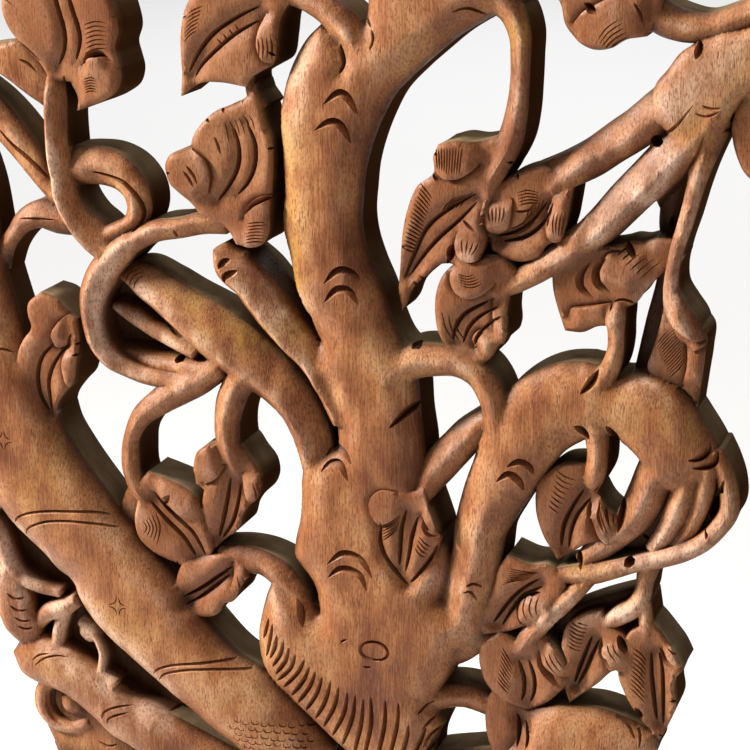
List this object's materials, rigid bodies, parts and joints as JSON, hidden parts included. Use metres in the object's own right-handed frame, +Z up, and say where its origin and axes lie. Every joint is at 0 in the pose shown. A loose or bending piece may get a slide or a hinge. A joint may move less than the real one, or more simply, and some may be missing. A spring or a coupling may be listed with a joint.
{
  "type": "carved wall panel",
  "caption": "Openwork wall panel carved from one hardwood board: forking tree trunk, curling vines and lobed leaves in deep relief.",
  "frame": {"origin": "on the flat back of the panel, behind the tree's trunk", "axes": "-Y out of the carved front, +Y towards the wall, +Z up, X across the panel"},
  "size_m": [0.565, 0.046, 0.574],
  "materials": {
    "carved_hardwood": "worn wax over reddish brown hardwood, rubbed paler on the crowns and dark in the recesses"
  },
  "bodies": {
    "root": {"carved_panel": "carved_hardwood"}
  },
  "joints": []
}
